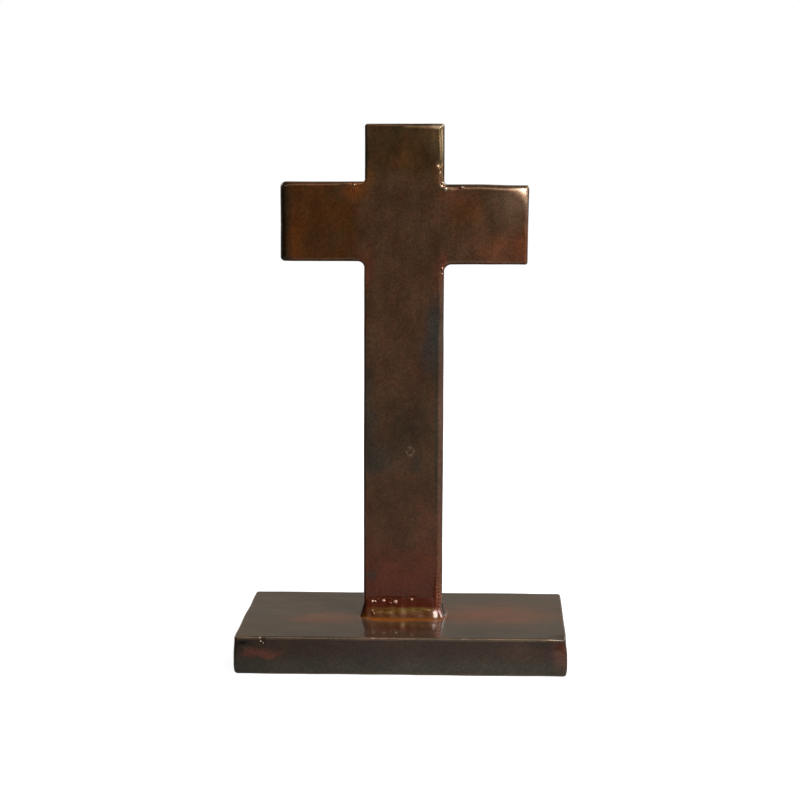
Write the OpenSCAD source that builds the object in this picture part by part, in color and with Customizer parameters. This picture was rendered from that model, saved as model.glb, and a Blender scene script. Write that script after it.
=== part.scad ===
// Altar cross, welded from flat steel bar and standing on a thick rectangular plate.
//
// The upright is one length of bar. Each arm is a short length of the same bar, bevelled at its
// inner end and butted against the upright's side. A groove weld, ground flush, fills the bevel
// at the front and at the back, and a small fillet weld lies in the corner above and below the
// arm. A fillet weld in four runs ties the upright's foot to the plate.
//
// X is left to right, Y is front to back and Z is up. The origin is the middle of the plate's
// underside. All sizes are in millimetres.

/* [Base plate] */
// Length of the plate, left to right
base_length = 155; // [110:1:220]
// Depth of the plate, front to back
base_depth = 101.6; // [60:0.1:160]
// Thickness of the plate
base_thickness = 18; // [8:0.5:30]
// Chamfer along all the plate's edges
base_edge = 1.1; // [0.3:0.1:3]

/* [Upright] */
// Height of the whole object, underside to top
total_height = 253.6; // [235:0.2:320]
// Width of the upright's bar
bar_width = 37.4; // [25:0.2:50]
// Thickness of all the flat bar
bar_thickness = 12.7; // [10:0.1:20]
// Chamfer along the bars' long edges
bar_edge = 1.2; // [0.3:0.1:2]
// Rounding of the outer corners, seen from the front
corner_round = 1.6; // [0.5:0.1:5]

/* [Arms] */
// Height of each arm
arm_height = 37; // [25:0.2:45]
// Underside of the left arm above the ground
left_arm_bottom = 189; // [150:0.2:192]
// Underside of the right arm above the ground
right_arm_bottom = 187.6; // [150:0.2:192]
// Reach of the left arm's end from the middle of the upright
left_reach = 58.3; // [40:0.1:90]
// Reach of the right arm's end from the middle of the upright
right_reach = 58.6; // [40:0.1:90]
// Bevel on the front edge of the left arm's end
left_end_bevel = 3; // [0.5:0.1:5]
// Bevel on the front edge of the right arm's end
right_end_bevel = 1.2; // [0.5:0.1:5]

/* [Welds] */
// Depth of the grooves between arm and upright
groove_depth = 4; // [1.5:0.1:6]
// Radius of the corner welds above the arms
upper_corner_radius = 1.5; // [1:0.1:5]
// Radius of the corner weld below the left arm
left_lower_radius = 3; // [1:0.1:8]
// Radius of the corner weld below the right arm
right_lower_radius = 3.6; // [1:0.1:8]
// Height of the foot weld up the upright
foot_height = 8.5; // [4:0.1:15]
// Reach of the foot weld out over the plate
foot_reach = 2.6; // [1.5:0.1:6]
// Hollow of the foot weld's face
foot_hollow = 0.5; // [0.2:0.05:1]

/* [Hidden] */

$fn = 96;

// How far a cutter runs past the face that it cuts
clear = 0.5;
half_width = bar_width / 2;
half_thickness = bar_thickness / 2;
foot_top = base_thickness + foot_height;
// Thickness left at the foot weld's two toes
foot_toe = 0.3;

STEEL = [0.27, 0.18, 0.12];
PLATE = [0.24, 0.20, 0.17];
ARM = [0.33, 0.20, 0.12];
WELD = [0.36, 0.24, 0.14];

// ---- Shared shapes ----

// Corner profile of a chamfer: the edge is at the origin, and the metal lies at +X, +Y
module chamfer_profile(size)
    polygon([[-clear, -clear], [size + clear, -clear], [-clear, size + clear]]);

// Chamfer cutter along a straight edge of the front face, from one [x, z] point to another,
// with the metal on its left
module front_edge_cut(from, to, size = bar_edge) {
    run = to - from;
    translate([from[0], -half_thickness, from[1]])
        rotate([0, -atan2(run[1], run[0]), 0])
            rotate([90, 0, 90])
                linear_extrude(norm(run)) chamfer_profile(size);
}

// The same cutters for the front face and the rear face
module front_and_rear() {
    children();
    mirror([0, 1, 0]) children();
}

// What is drawn for the right-hand side, put on either side
module on_side(side) mirror([side < 0 ? 1 : 0, 0, 0]) children();

// What is drawn for the corner above an arm, put in the corner below it
module below() mirror([0, 0, 1]) children();

// Rounds one outer corner at [x, z], right through the bar; towards is the way to the metal
module round_corner(x, z, towards)
    translate([x, 0, z])
        mirror([towards[0] < 0 ? 1 : 0, 0, 0])
            mirror([0, 0, towards[1] < 0 ? 1 : 0])
                rotate([90, 0, 0])
                    linear_extrude(bar_thickness + 2 * clear, center = true)
                        difference() {
                            translate([-clear, -clear]) square(corner_round + clear);
                            translate([corner_round, corner_round]) circle(corner_round);
                        }

// ---- Edges that are eased after the welding ----

// Chamfer round the front of an inner corner: the corner is at the origin, the upright lies at
// -X and the arm at -Z
module inner_ring_cut(radius)
    translate([radius, -half_thickness, radius])
        rotate([-90, 0, 0])
            rotate([0, 0, 90])
                rotate_extrude(angle = 90) translate([radius, 0]) chamfer_profile(bar_edge);

// Both inner corners of a right-hand arm, front and rear
module inner_rings(bottom, lower_radius)
    front_and_rear() {
        translate([half_width, 0, bottom + arm_height]) inner_ring_cut(upper_corner_radius);
        translate([half_width, 0, bottom]) below() inner_ring_cut(lower_radius);
    }

// The three free edges of a right-hand arm, front and rear
module arm_edges(bottom, lower_radius, reach, end_bevel) {
    top = bottom + arm_height;
    front_and_rear() {
        front_edge_cut([half_width + lower_radius, bottom], [reach + clear, bottom]);
        front_edge_cut([reach + clear, top], [half_width + upper_corner_radius, top]);
        front_edge_cut([reach, bottom - clear], [reach, top + clear]);
    }
    front_edge_cut([reach, bottom - clear], [reach, top + clear], end_bevel);
    round_corner(reach, bottom, [-1, 1]);
    round_corner(reach, top, [-1, -1]);
}

// The long edges on one side of the upright, for a right-hand arm, front and rear
module upright_side_edges(bottom, lower_radius)
    front_and_rear() {
        front_edge_cut([half_width, foot_top], [half_width, bottom - lower_radius]);
        front_edge_cut(
            [half_width, bottom + arm_height + upper_corner_radius],
            [half_width, total_height + clear]
        );
    }

// ---- Sub-parts ----

module base_plate()
    color(PLATE)
        difference() {
            translate([-base_length / 2, -base_depth / 2, 0])
                cube([base_length, base_depth, base_thickness]);
            for (x = [0, 1], y = [0, 1])
                mirror([x, 0, 0]) mirror([0, y, 0])
                    translate([-base_length / 2, -base_depth / 2, -clear])
                        linear_extrude(base_thickness + 2 * clear) chamfer_profile(base_edge);
            for (y = [0, 1], z = [0, 1])
                mirror([0, y, 0])
                    translate([-base_length / 2 - clear, -base_depth / 2, z * base_thickness])
                        mirror([0, 0, z])
                            rotate([90, 0, 90])
                                linear_extrude(base_length + 2 * clear) chamfer_profile(base_edge);
            for (x = [0, 1], z = [0, 1])
                mirror([x, 0, 0])
                    translate([-base_length / 2, base_depth / 2 + clear, z * base_thickness])
                        mirror([0, 0, z])
                            rotate([90, 0, 0])
                                linear_extrude(base_depth + 2 * clear) chamfer_profile(base_edge);
        }

module upright()
    color(STEEL)
        difference() {
            translate([-half_width, -half_thickness, base_thickness])
                cube([bar_width, bar_thickness, total_height - base_thickness]);
            on_side(1) upright_side_edges(right_arm_bottom, right_lower_radius);
            on_side(-1) upright_side_edges(left_arm_bottom, left_lower_radius);
            on_side(1) inner_rings(right_arm_bottom, right_lower_radius);
            on_side(-1) inner_rings(left_arm_bottom, left_lower_radius);
            front_and_rear()
                front_edge_cut(
                    [half_width + clear, total_height],
                    [-half_width - clear, total_height]
                );
            round_corner(half_width, total_height, [-1, -1]);
            round_corner(-half_width, total_height, [1, -1]);
        }

// An arm as on the right: bar with its inner end bevelled at the front and at the rear
module arm(bottom, lower_radius, reach, end_bevel)
    color(ARM)
        difference() {
            translate([half_width, -half_thickness, bottom])
                cube([reach - half_width, bar_thickness, arm_height]);
            front_and_rear()
                translate([half_width, -half_thickness, bottom - clear])
                    linear_extrude(arm_height + 2 * clear) chamfer_profile(groove_depth);
            arm_edges(bottom, lower_radius, reach, end_bevel);
            inner_rings(bottom, lower_radius);
        }

// The weld that fills an arm's front groove, as on the right
module groove_weld(bottom, lower_radius, reach)
    color(WELD)
        difference() {
            translate([half_width, -half_thickness, bottom])
                linear_extrude(arm_height)
                    polygon([[0, 0], [groove_depth, 0], [0, groove_depth]]);
            arm_edges(bottom, lower_radius, reach, bar_edge);
            inner_rings(bottom, lower_radius);
        }

// The small hollow weld in the corner above an arm, as on the right, with its corner at the
// origin
module corner_weld(radius)
    color(WELD)
        difference() {
            rotate([90, 0, 0])
                linear_extrude(bar_thickness, center = true)
                    difference() {
                        square(radius);
                        translate([radius, radius]) circle(radius);
                    }
            front_and_rear() inner_ring_cut(radius);
        }

// Cross-section of the foot weld: X runs out over the plate and Y up the upright
module foot_profile() {
    outer_toe = [foot_reach, foot_toe];
    upper_toe = [foot_toe, foot_height];
    chord = upper_toe - outer_toe;
    outward = [chord[1], -chord[0]] / norm(chord);
    face_radius = (pow(norm(chord) / 2, 2) + pow(foot_hollow, 2)) / (2 * foot_hollow);
    difference() {
        polygon([[0, 0], [foot_reach, 0], outer_toe, upper_toe, [0, foot_height]]);
        translate((outer_toe + upper_toe) / 2 + outward * (face_radius - foot_hollow))
            circle(face_radius, $fn = 360);
    }
}

// A straight run of the foot weld, centred on its length, lying along X with the upright at +Y
module foot_run(length)
    translate([length / 2, 0, base_thickness])
        rotate([90, 0, -90])
            linear_extrude(length) foot_profile();

// The run across the front of the foot, with the quarter turns at its two ends
module foot_long_run()
    color(WELD) {
        translate([0, -half_thickness, 0]) foot_run(bar_width);
        for (x = [0, 1])
            mirror([x, 0, 0])
                translate([half_width, -half_thickness, base_thickness])
                    rotate([0, 0, -90])
                        rotate_extrude(angle = 90) foot_profile();
    }

// The run up to the right-hand side of the foot
module foot_short_run()
    color(WELD)
        translate([half_width, 0, 0]) rotate([0, 0, 90]) foot_run(bar_thickness);

module left_arm()
    on_side(-1) arm(left_arm_bottom, left_lower_radius, left_reach, left_end_bevel);
module right_arm()
    on_side(1) arm(right_arm_bottom, right_lower_radius, right_reach, right_end_bevel);

module left_arm_front_weld()
    on_side(-1) groove_weld(left_arm_bottom, left_lower_radius, left_reach);
module left_arm_rear_weld() mirror([0, 1, 0]) left_arm_front_weld();
module left_arm_upper_corner_weld()
    on_side(-1)
        translate([half_width, 0, left_arm_bottom + arm_height])
            corner_weld(upper_corner_radius);
module left_arm_lower_corner_weld()
    on_side(-1)
        translate([half_width, 0, left_arm_bottom]) below() corner_weld(left_lower_radius);

module right_arm_front_weld()
    on_side(1) groove_weld(right_arm_bottom, right_lower_radius, right_reach);
module right_arm_rear_weld() mirror([0, 1, 0]) right_arm_front_weld();
module right_arm_upper_corner_weld()
    translate([half_width, 0, right_arm_bottom + arm_height]) corner_weld(upper_corner_radius);
module right_arm_lower_corner_weld()
    translate([half_width, 0, right_arm_bottom]) below() corner_weld(right_lower_radius);

module foot_front_weld() foot_long_run();
module foot_rear_weld() mirror([0, 1, 0]) foot_long_run();
module foot_right_weld() foot_short_run();
module foot_left_weld() on_side(-1) foot_short_run();

base_plate();
upright();
left_arm();
right_arm();
left_arm_front_weld();
left_arm_rear_weld();
left_arm_upper_corner_weld();
left_arm_lower_corner_weld();
right_arm_front_weld();
right_arm_rear_weld();
right_arm_upper_corner_weld();
right_arm_lower_corner_weld();
foot_front_weld();
foot_rear_weld();
foot_left_weld();
foot_right_weld();
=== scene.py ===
"""Altar cross of welded flat steel bar: the looks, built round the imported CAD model.

Each bar and each weld is meshed from a distance field: a function that is negative inside the
metal and zero on its surface. The whole cross is one field, so neighbouring pieces that were
ground flush together share one surface, and the meshes are then cut apart where the pieces meet.
All lengths inside the fields are in millimetres.
"""
import math

import bmesh
import bpy
import numpy as np
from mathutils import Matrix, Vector


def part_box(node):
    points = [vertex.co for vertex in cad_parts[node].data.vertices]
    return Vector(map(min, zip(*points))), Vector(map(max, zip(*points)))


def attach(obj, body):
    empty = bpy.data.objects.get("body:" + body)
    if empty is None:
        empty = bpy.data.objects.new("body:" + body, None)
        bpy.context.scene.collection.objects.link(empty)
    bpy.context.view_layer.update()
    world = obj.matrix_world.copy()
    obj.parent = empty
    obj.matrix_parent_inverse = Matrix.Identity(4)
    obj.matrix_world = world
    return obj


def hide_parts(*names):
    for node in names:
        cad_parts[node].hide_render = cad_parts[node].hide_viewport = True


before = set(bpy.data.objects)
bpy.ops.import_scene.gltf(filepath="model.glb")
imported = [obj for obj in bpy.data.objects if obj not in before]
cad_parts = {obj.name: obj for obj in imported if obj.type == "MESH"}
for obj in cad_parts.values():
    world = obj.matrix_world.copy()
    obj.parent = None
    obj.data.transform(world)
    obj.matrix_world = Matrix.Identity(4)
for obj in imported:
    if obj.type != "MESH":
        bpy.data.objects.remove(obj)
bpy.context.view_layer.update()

MM = 0.001


def node_box(name):
    """Lowest and highest corner of a CAD node, in millimetres."""
    low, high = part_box(name)
    return np.array(low) / MM, np.array(high) / MM


# ---- Sizes, all read from the frame ----

PLATE_LOW, PLATE_HIGH = node_box("base_plate")
_, BAR_HIGH = node_box("upright")
LEFT_LOW, LEFT_HIGH = node_box("left_arm")
RIGHT_LOW, RIGHT_HIGH = node_box("right_arm")
FOOT_LOW, FOOT_HIGH = node_box("foot_front_weld")


def corner_radius(name):
    """Radius of a small corner weld, which is as tall as its radius."""
    low, high = node_box(name)
    return high[2] - low[2]


UPPER_RADIUS = corner_radius("right_arm_upper_corner_weld")
LEFT_LOWER_RADIUS = corner_radius("left_arm_lower_corner_weld")
RIGHT_LOWER_RADIUS = corner_radius("right_arm_lower_corner_weld")
GROOVE_LOW, GROOVE_HIGH = node_box("left_arm_front_weld")
GROOVE = GROOVE_HIGH[1] - GROOVE_LOW[1]

HALF_WIDTH = BAR_HIGH[0]
HALF_THICK = BAR_HIGH[1]
TOP = BAR_HIGH[2]
GROUND_TOP = PLATE_HIGH[2]
FRONT = -HALF_THICK
FOOT_HEIGHT = FOOT_HIGH[2] - FOOT_LOW[2]


# ---- Distance field tools. p is an array of points, one row each ----

def waves(p, seed, length, height):
    """A smooth uneven surface, as hand grinding leaves: a sum of slow sine waves."""
    draw = np.random.default_rng(seed)
    total = np.zeros(len(p))
    for _ in range(9):
        way = draw.normal(size=3)
        way /= np.linalg.norm(way)
        rate = 2 * math.pi / (length * draw.uniform(0.7, 1.6))
        total += np.sin(p @ way * rate + draw.uniform(0, 2 * math.pi))
    return total * height / 3


def smooth_step(value, low, high):
    """0 up to low, 1 from high on, and an eased curve between; low may be above high."""
    t = np.clip((value - low) / (high - low), 0, 1)
    return t * t * (3 - 2 * t)


def blended(a, b, reach):
    """Union of two fields with a soft fillet between them."""
    h = np.clip(0.5 + 0.5 * (b - a) / reach, 0, 1)
    return b * (1 - h) + a * h - reach * h * (1 - h)


def scooped(a, b, reach):
    """Field a with b taken out of it, with softened lips."""
    return -blended(-a, b, reach)


def rounded_union(a, b, radius):
    """Union of two fields at a right angle, with a true circular fillet in the corner."""
    u = np.maximum(radius - a, 0)
    v = np.maximum(radius - b, 0)
    return np.maximum(radius, np.minimum(a, b)) - np.hypot(u, v)


def rectangle(x, z, low, high, radius):
    """Field of an upright rectangle with rounded corners."""
    qx = np.abs(x - (low[0] + high[0]) / 2) - (high[0] - low[0]) / 2 + radius
    qz = np.abs(z - (low[1] + high[1]) / 2) - (high[1] - low[1]) / 2 + radius
    return np.hypot(np.maximum(qx, 0), np.maximum(qz, 0)) + np.minimum(np.maximum(qx, qz), 0) - radius


def thickened(outline, across, edge):
    """Gives an outline its thickness, with its edges rounded to the radius edge."""
    a = outline + edge
    b = across + edge
    return np.hypot(np.maximum(a, 0), np.maximum(b, 0)) + np.minimum(np.maximum(a, b), 0) - edge


def blob(p, centre, size):
    """Field of an ellipsoid."""
    size = np.array(size, float)
    return (np.linalg.norm((p - np.array(centre)) / size, axis=1) - 1) * size.min()


def near(x, middle, reach):
    """1 at middle, falling smoothly to 0 at reach away from it."""
    return 1 - smooth_step(np.abs(x - middle), 0, reach)


# The uneven faces lie this far inside the CAD faces on average, so that no high spot stands proud
INSET = 0.09


# ---- The cross ----

# The cross leans a little to the right: by LEAN for each millimetre above PLUMB_HEIGHT
PLUMB_HEIGHT = 154.0
LEAN = 0.0039

# The shaft below the arms is this much fuller on each side than the CAD bar
SHAFT_FULL = 0.22

# Soft-edged facets ground off the two right-hand front corners: (slope sideways, slope up, depth)
STUB_FACETS = [(0.235, 0.30, 0.9), (0.08, 0.33, 0.6)]
ARM_FACETS = [(0.22, 0.28, 2.7), (0.10, 0.33, 1.6), (0.33, 0.12, 1.9)]
FACET_REACH = 22
FACET_SOFTNESS = 0.9

# Marks of a chattering grinder, low down on the front right edge
CHATTER_DEPTH = 0.08
CHATTER_PITCH = 1.7

# Small marks: (kind, centre, size, softness)
CROSS_MARKS = [
    # beads left in the corner above the right arm, with the gouge beside them
    ("add", (18.1, FRONT + 0.2, 225.8), (0.8, 0.8, 0.85), 0.25),
    ("add", (17.4, FRONT + 0.05, 224.3), (1.0, 0.8, 0.75), 0.25),
    ("add", (19.5, FRONT, 223.1), (1.3, 0.9, 0.85), 0.25),
    ("cut", (24.0, FRONT - 0.1, 223.7), (2.2, 0.5, 0.9), 0.3),
    ("add", (27.1, FRONT + 0.2, 223.9), (0.75, 0.7, 0.75), 0.2),
    # spatter on the left arm's top edge, and the dimple under it
    ("add", (-23.6, FRONT + 0.1, 225.0), (0.6, 0.6, 0.6), 0.25),
    ("add", (-27.0, FRONT + 0.5, 225.3), (2.4, 0.5, 0.6), 0.5),
    ("cut", (-26.2, FRONT + 0.1, 188.9), (2.4, 1.4, 0.8), 0.4),
    # lumps down the corner below the right arm
    ("add", (18.2, FRONT + 0.8, 185.0), (0.8, 1.0, 1.5), 0.4),
    ("add", (18.0, FRONT + 0.8, 182.8), (0.6, 0.9, 0.8), 0.4),
    # knocks in the edges
    ("cut", (58.9, FRONT + 0.4, 219.4), (0.5, 0.9, 0.8), 0.3),
    ("cut", (16.5, FRONT - 0.4, 234.8), (1.4, 0.9, 1.8), 0.2),
    ("cut", (17.1, FRONT - 0.1, 231.8), (0.5, 0.5, 1.1), 0.2),
    ("cut", (-58.6, FRONT + 2.0, 206.2), (0.35, 1.5, 1.0), 0.2),
    ("add", (-58.1, FRONT + 2.4, 207.6), (0.3, 1.0, 0.5), 0.2),
    # a few dents half way down the shaft
    ("cut", (1.4, FRONT - 0.25, 97.4), (0.7, 0.5, 1.3), 0.15),
    ("cut", (3.3, FRONT - 0.25, 95.6), (0.6, 0.45, 1.0), 0.15),
    ("cut", (4.0, FRONT - 0.25, 99.4), (0.8, 0.4, 0.6), 0.15),
    # undercut along the foot weld's upper toe
    ("cut", (-6.4, FRONT - 0.05, 27.2), (6.6, 0.4, 0.45), 0.15),
    ("cut", (4.2, FRONT - 0.05, 27.5), (2.2, 0.35, 0.4), 0.15),
]


def cross_outline(x, z):
    """Field of the cross seen from the front, its outline with rounded corners."""
    middle = (LEFT_LOW[2] + LEFT_HIGH[2]) / 2
    full = SHAFT_FULL * smooth_step(z, middle, middle - 25)
    upright = rectangle(x, z, (-HALF_WIDTH, 0), (HALF_WIDTH, TOP), 1.3) - full
    # the arms are a little full too
    left = rectangle(x, z, (LEFT_LOW[0] - 0.5, LEFT_LOW[2] - 0.2), (0, LEFT_HIGH[2] + 0.4), 2.2)
    # the right arm's end is not quite square, and its top falls away by 0.4 mm outwards
    slant = 0.015 * (z - middle)
    raised = 0.4 - 0.4 * smooth_step(x, 34, 54)
    right_z = np.where(z > middle, z - raised, z + 0.2)
    right = rectangle(x - slant, right_z, (0, RIGHT_LOW[2]), (RIGHT_HIGH[0] + 0.1, RIGHT_HIGH[2]), 1.2)
    arm = np.where(x < 0, left, right)
    lower = np.where(x < 0, LEFT_LOWER_RADIUS, RIGHT_LOWER_RADIUS)
    return rounded_union(upright, arm, np.where(z < middle, lower, UPPER_RADIUS))


def edge_radius(p):
    """How far each long edge is worn round, which differs from edge to edge."""
    x, y, z = p.T
    front = y < 0
    on_arm = smooth_step(np.abs(x), HALF_WIDTH + 1, HALF_WIDTH + 5)
    lower_half = z < (LEFT_LOW[2] + LEFT_HIGH[2]) / 2
    shaft_right = 2.3 + 0.7 * smooth_step(z, 110, 60)
    shaft = np.where((x > 0) & front, shaft_right, 1.5)
    arm_top = np.where(x > 0, 2.4, 1.9)
    arm_foot = np.where(x > 0, 2.5, 2.2)
    arm = np.where(front, np.where(lower_half, arm_foot, arm_top), 1.5)
    radius = shaft * (1 - on_arm) + arm * on_arm
    radius = radius + 1.6 * near(x, LEFT_LOW[0], 7.0) * front
    radius = radius - 0.9 * near(x, RIGHT_HIGH[0], 3.5)
    radius = radius - 0.4 * near(z, TOP, 3.0)
    radius = radius - 0.7 * near(np.hypot(x - RIGHT_HIGH[0], z - RIGHT_HIGH[2]), 0, 15)
    return radius * (1 + 0.3 * waves(p, 21, 26, 0.5))


def worn_corner(p, corner, depth, reach):
    """How far the front has been ground back near a corner, fading out towards mid-thickness."""
    x, y, z = p.T
    away = np.hypot(x - corner[0], z - corner[1])
    return depth * np.exp(-((away / reach) ** 2)) * smooth_step(y, FRONT + 5.5, FRONT + 0.5)


def ground_corner(d, p, corner, facets):
    """Takes facets off the front at a corner, within FACET_REACH of it."""
    close_by = np.hypot(p[:, 0] - corner[0], p[:, 2] - corner[1]) < FACET_REACH
    for sideways, up, depth in facets:
        facing = np.array([sideways, -1.0, up])
        above = (p - [corner[0], FRONT + depth, corner[1]]) @ (facing / np.linalg.norm(facing))
        d = np.where(close_by, scooped(d, -above, FACET_SOFTNESS), d)
    return d


def cross_field(p):
    """The upright, both arms and their welds as one solid."""
    x, y, z = p.T
    d = thickened(cross_outline(x, z), np.abs(y) - HALF_THICK, edge_radius(p))
    d = d + INSET + waves(p, 3, 45, 0.05) + waves(p, 4, 14, 0.018)
    stub_corner = (HALF_WIDTH, TOP)
    d = d + worn_corner(p, stub_corner, 0.35, 9.0)
    d = ground_corner(d, p, stub_corner, STUB_FACETS)
    arm_corner = (RIGHT_HIGH[0], RIGHT_HIGH[2])
    d = d + worn_corner(p, arm_corner, 0.9, 13.0)
    d = ground_corner(d, p, arm_corner, ARM_FACETS)
    chatter = CHATTER_DEPTH * smooth_step(z, 43, 31) * smooth_step(x, 14.3, 15.5)
    chatter = chatter * smooth_step(y, FRONT + 3.0, FRONT + 1.0)
    d = d + chatter * np.sin(z * 2 * math.pi / CHATTER_PITCH + 0.8 * np.sin(x * 2.1))
    for kind, centre, size, reach in CROSS_MARKS:
        shape = blob(p, centre, size)
        d = blended(d, shape, reach) if kind == "add" else scooped(d, shape, reach)
    return d


def cross_edge(p):
    """Distance from the nearest long edge, over the surface."""
    return np.maximum(-cross_outline(p[:, 0], p[:, 2]), HALF_THICK - np.abs(p[:, 1]))


# ---- The base plate ----

# Dents and nicks along its edges: (centre, size)
PLATE_MARKS = [
    ((-63.9, PLATE_LOW[1] - 0.1, 16.8), (1.3, 0.8, 1.6)),
    ((-62.9, PLATE_LOW[1] + 0.1, 15.5), (0.6, 0.5, 0.8)),
    ((-77.0, PLATE_LOW[1], 0.6), (1.8, 1.6, 1.5)),
    ((76.9, PLATE_LOW[1] + 0.4, 13.4), (0.6, 1.4, 1.0)),
    ((-73.0, PLATE_LOW[1] - 0.2, 15.6), (2.6, 0.5, 1.1)),
    ((-11.5, PLATE_LOW[1] - 0.1, 17.7), (1.2, 0.5, 0.6)),
    ((31.0, PLATE_LOW[1] - 0.1, 17.8), (1.8, 0.5, 0.5)),
]


def plate_field(p):
    """The sheared plate, with uneven edges and a blunted front right corner."""
    x, y, z = p.T
    half = (PLATE_HIGH - PLATE_LOW) / 2
    middle = (PLATE_HIGH + PLATE_LOW) / 2
    # the sheared ends bulge a little below the top
    inset = 0.45 * smooth_step(z, 8, 17) + 0.4 * smooth_step(z, 4, 0)
    outline = rectangle(x + np.sign(x) * inset, y, -half[:2], half[:2], 2.0)
    edge = 1.15 * (1 + 0.5 * waves(p, 31, 30, 0.5))
    d = thickened(outline, np.abs(z - middle[2]) - half[2], edge)
    d = d + INSET + waves(p, 5, 60, 0.04) + waves(p, 6, 15, 0.012)
    corner = np.hypot(x - half[0], y + half[1])
    d = d + 0.9 * np.exp(-((corner / 6.0) ** 2)) * smooth_step(z, 11, 17)
    for centre, size in PLATE_MARKS:
        d = scooped(d, blob(p, centre, size), 0.3)
    return d


def plate_edge(p):
    """Distance from the nearest edge: the second smallest of the distances from the faces."""
    inset = (PLATE_HIGH - PLATE_LOW) / 2 - np.abs(p - (PLATE_HIGH + PLATE_LOW) / 2)
    return np.sort(inset, axis=1)[:, 1]


# ---- The fillet weld round the foot ----

# How far the bead reaches out on each side, and how deep its face is hollowed
FRONT_REACH = 2.0
LEFT_REACH = 2.3
RIGHT_REACH = 3.0
HOLLOW = 0.6

# How far the bead goes into the bar and into the plate
DUG_IN = 0.6

# Beads and flecks of spatter: (centre, size, softness)
FOOT_MARKS = [
    ((-14.4, FRONT - 0.05, 25.4), (0.7, 0.5, 0.55), 0.25),
    ((-13.1, FRONT - 0.05, 25.5), (0.6, 0.5, 0.5), 0.25),
    ((-12.0, FRONT - 0.05, 26.5), (0.55, 0.4, 0.5), 0.25),
    ((-9.1, FRONT - 0.05, 25.7), (0.8, 0.5, 0.6), 0.25),
    ((-3.4, FRONT - 0.1, 25.2), (1.05, 0.8, 0.85), 0.25),
    ((4.4, FRONT - 0.05, 26.5), (0.65, 0.6, 0.6), 0.2),
    ((-14.6, FRONT - 1.0, 20.5), (0.45, 0.5, 0.7), 0.3),
    ((-13.9, FRONT - 1.4, 19.5), (0.45, 0.5, 0.7), 0.3),
    ((-6.2, FRONT - 0.15, 24.5), (0.9, 0.45, 0.4), 0.3),
    ((11.6, FRONT - 0.5, 21.2), (1.6, 0.5, 0.5), 0.4),
]


def foot_field(p):
    """One bead round the foot: hollow-faced, uneven along its upper toe, dug into both bars."""
    x, y, z = p.T
    up = z - GROUND_TOP
    corner = 2.0 + 2.4 * smooth_step(x, 0, 10) * smooth_step(-y, 0, 3)
    qx = np.abs(x) - HALF_WIDTH + corner
    qy = np.abs(y) - HALF_THICK + corner
    out = np.hypot(np.maximum(qx, 0), np.maximum(qy, 0)) + np.minimum(np.maximum(qx, qy), 0) - corner
    sideways = smooth_step(qx - qy, -1.5, 1.5)
    side_reach = np.where(x > 0, RIGHT_REACH, LEFT_REACH)
    reach = FRONT_REACH + (side_reach - FRONT_REACH) * sideways + waves(p, 41, 9, 0.18)
    height = FOOT_HEIGHT + 0.35 + waves(p * [1, 1, 0.2], 42, 6, 0.35)
    chord = np.hypot(reach, height)
    radius = (chord ** 2 / 4 + HOLLOW ** 2) / (2 * HOLLOW)
    centre_out = reach / 2 + height / chord * (radius - HOLLOW)
    centre_up = height / 2 + reach / chord * (radius - HOLLOW)
    face = radius - np.hypot(out - centre_out, up - centre_up)
    d = np.maximum(face, np.maximum(out - reach, up - height))
    d = np.maximum(d, np.maximum(-DUG_IN - out, -DUG_IN - up))
    d = d + waves(p * [1, 1, 0.6], 43, 4.5, 0.09)
    for centre, size, soft in FOOT_MARKS:
        d = blended(d, blob(p, centre, size), soft)
    return d


# ---- Meshing ----

def spaced(low, high, coarse, bands, flats):
    """Grid lines from low to high, coarse apart, and finer inside each (from, to, step) band.

    A flat face close to a grid line would mesh badly, so each place in flats gets a cell round it.
    """
    lines = [low]
    while lines[-1] < high:
        at = lines[-1]
        step = min([coarse] + [s for a, b, s in bands if a - coarse * 0.6 <= at <= b])
        lines.append(at + step)
    lines = np.array(lines)
    for flat in flats:
        above = np.searchsorted(lines, flat)
        lines[above - 1] = flat - 0.2
        lines[above] = flat + 0.2
    return lines


def gradient(field, p, step=0.02):
    """Slope of a field at each point, by central differences."""
    slope = np.empty_like(p)
    for axis in range(3):
        shift = np.zeros(3)
        shift[axis] = step
        slope[:, axis] = (field(p + shift) - field(p - shift)) / (2 * step)
    return slope


def lattice(field, xs, ys, zs):
    """Values of the field at every crossing of the grid lines."""
    grid = np.stack(np.meshgrid(xs, ys, zs, indexing="ij"), axis=-1).reshape(-1, 3)
    values = np.concatenate([field(part) for part in np.array_split(grid, 16)])
    return values.reshape(len(xs), len(ys), len(zs))


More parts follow.
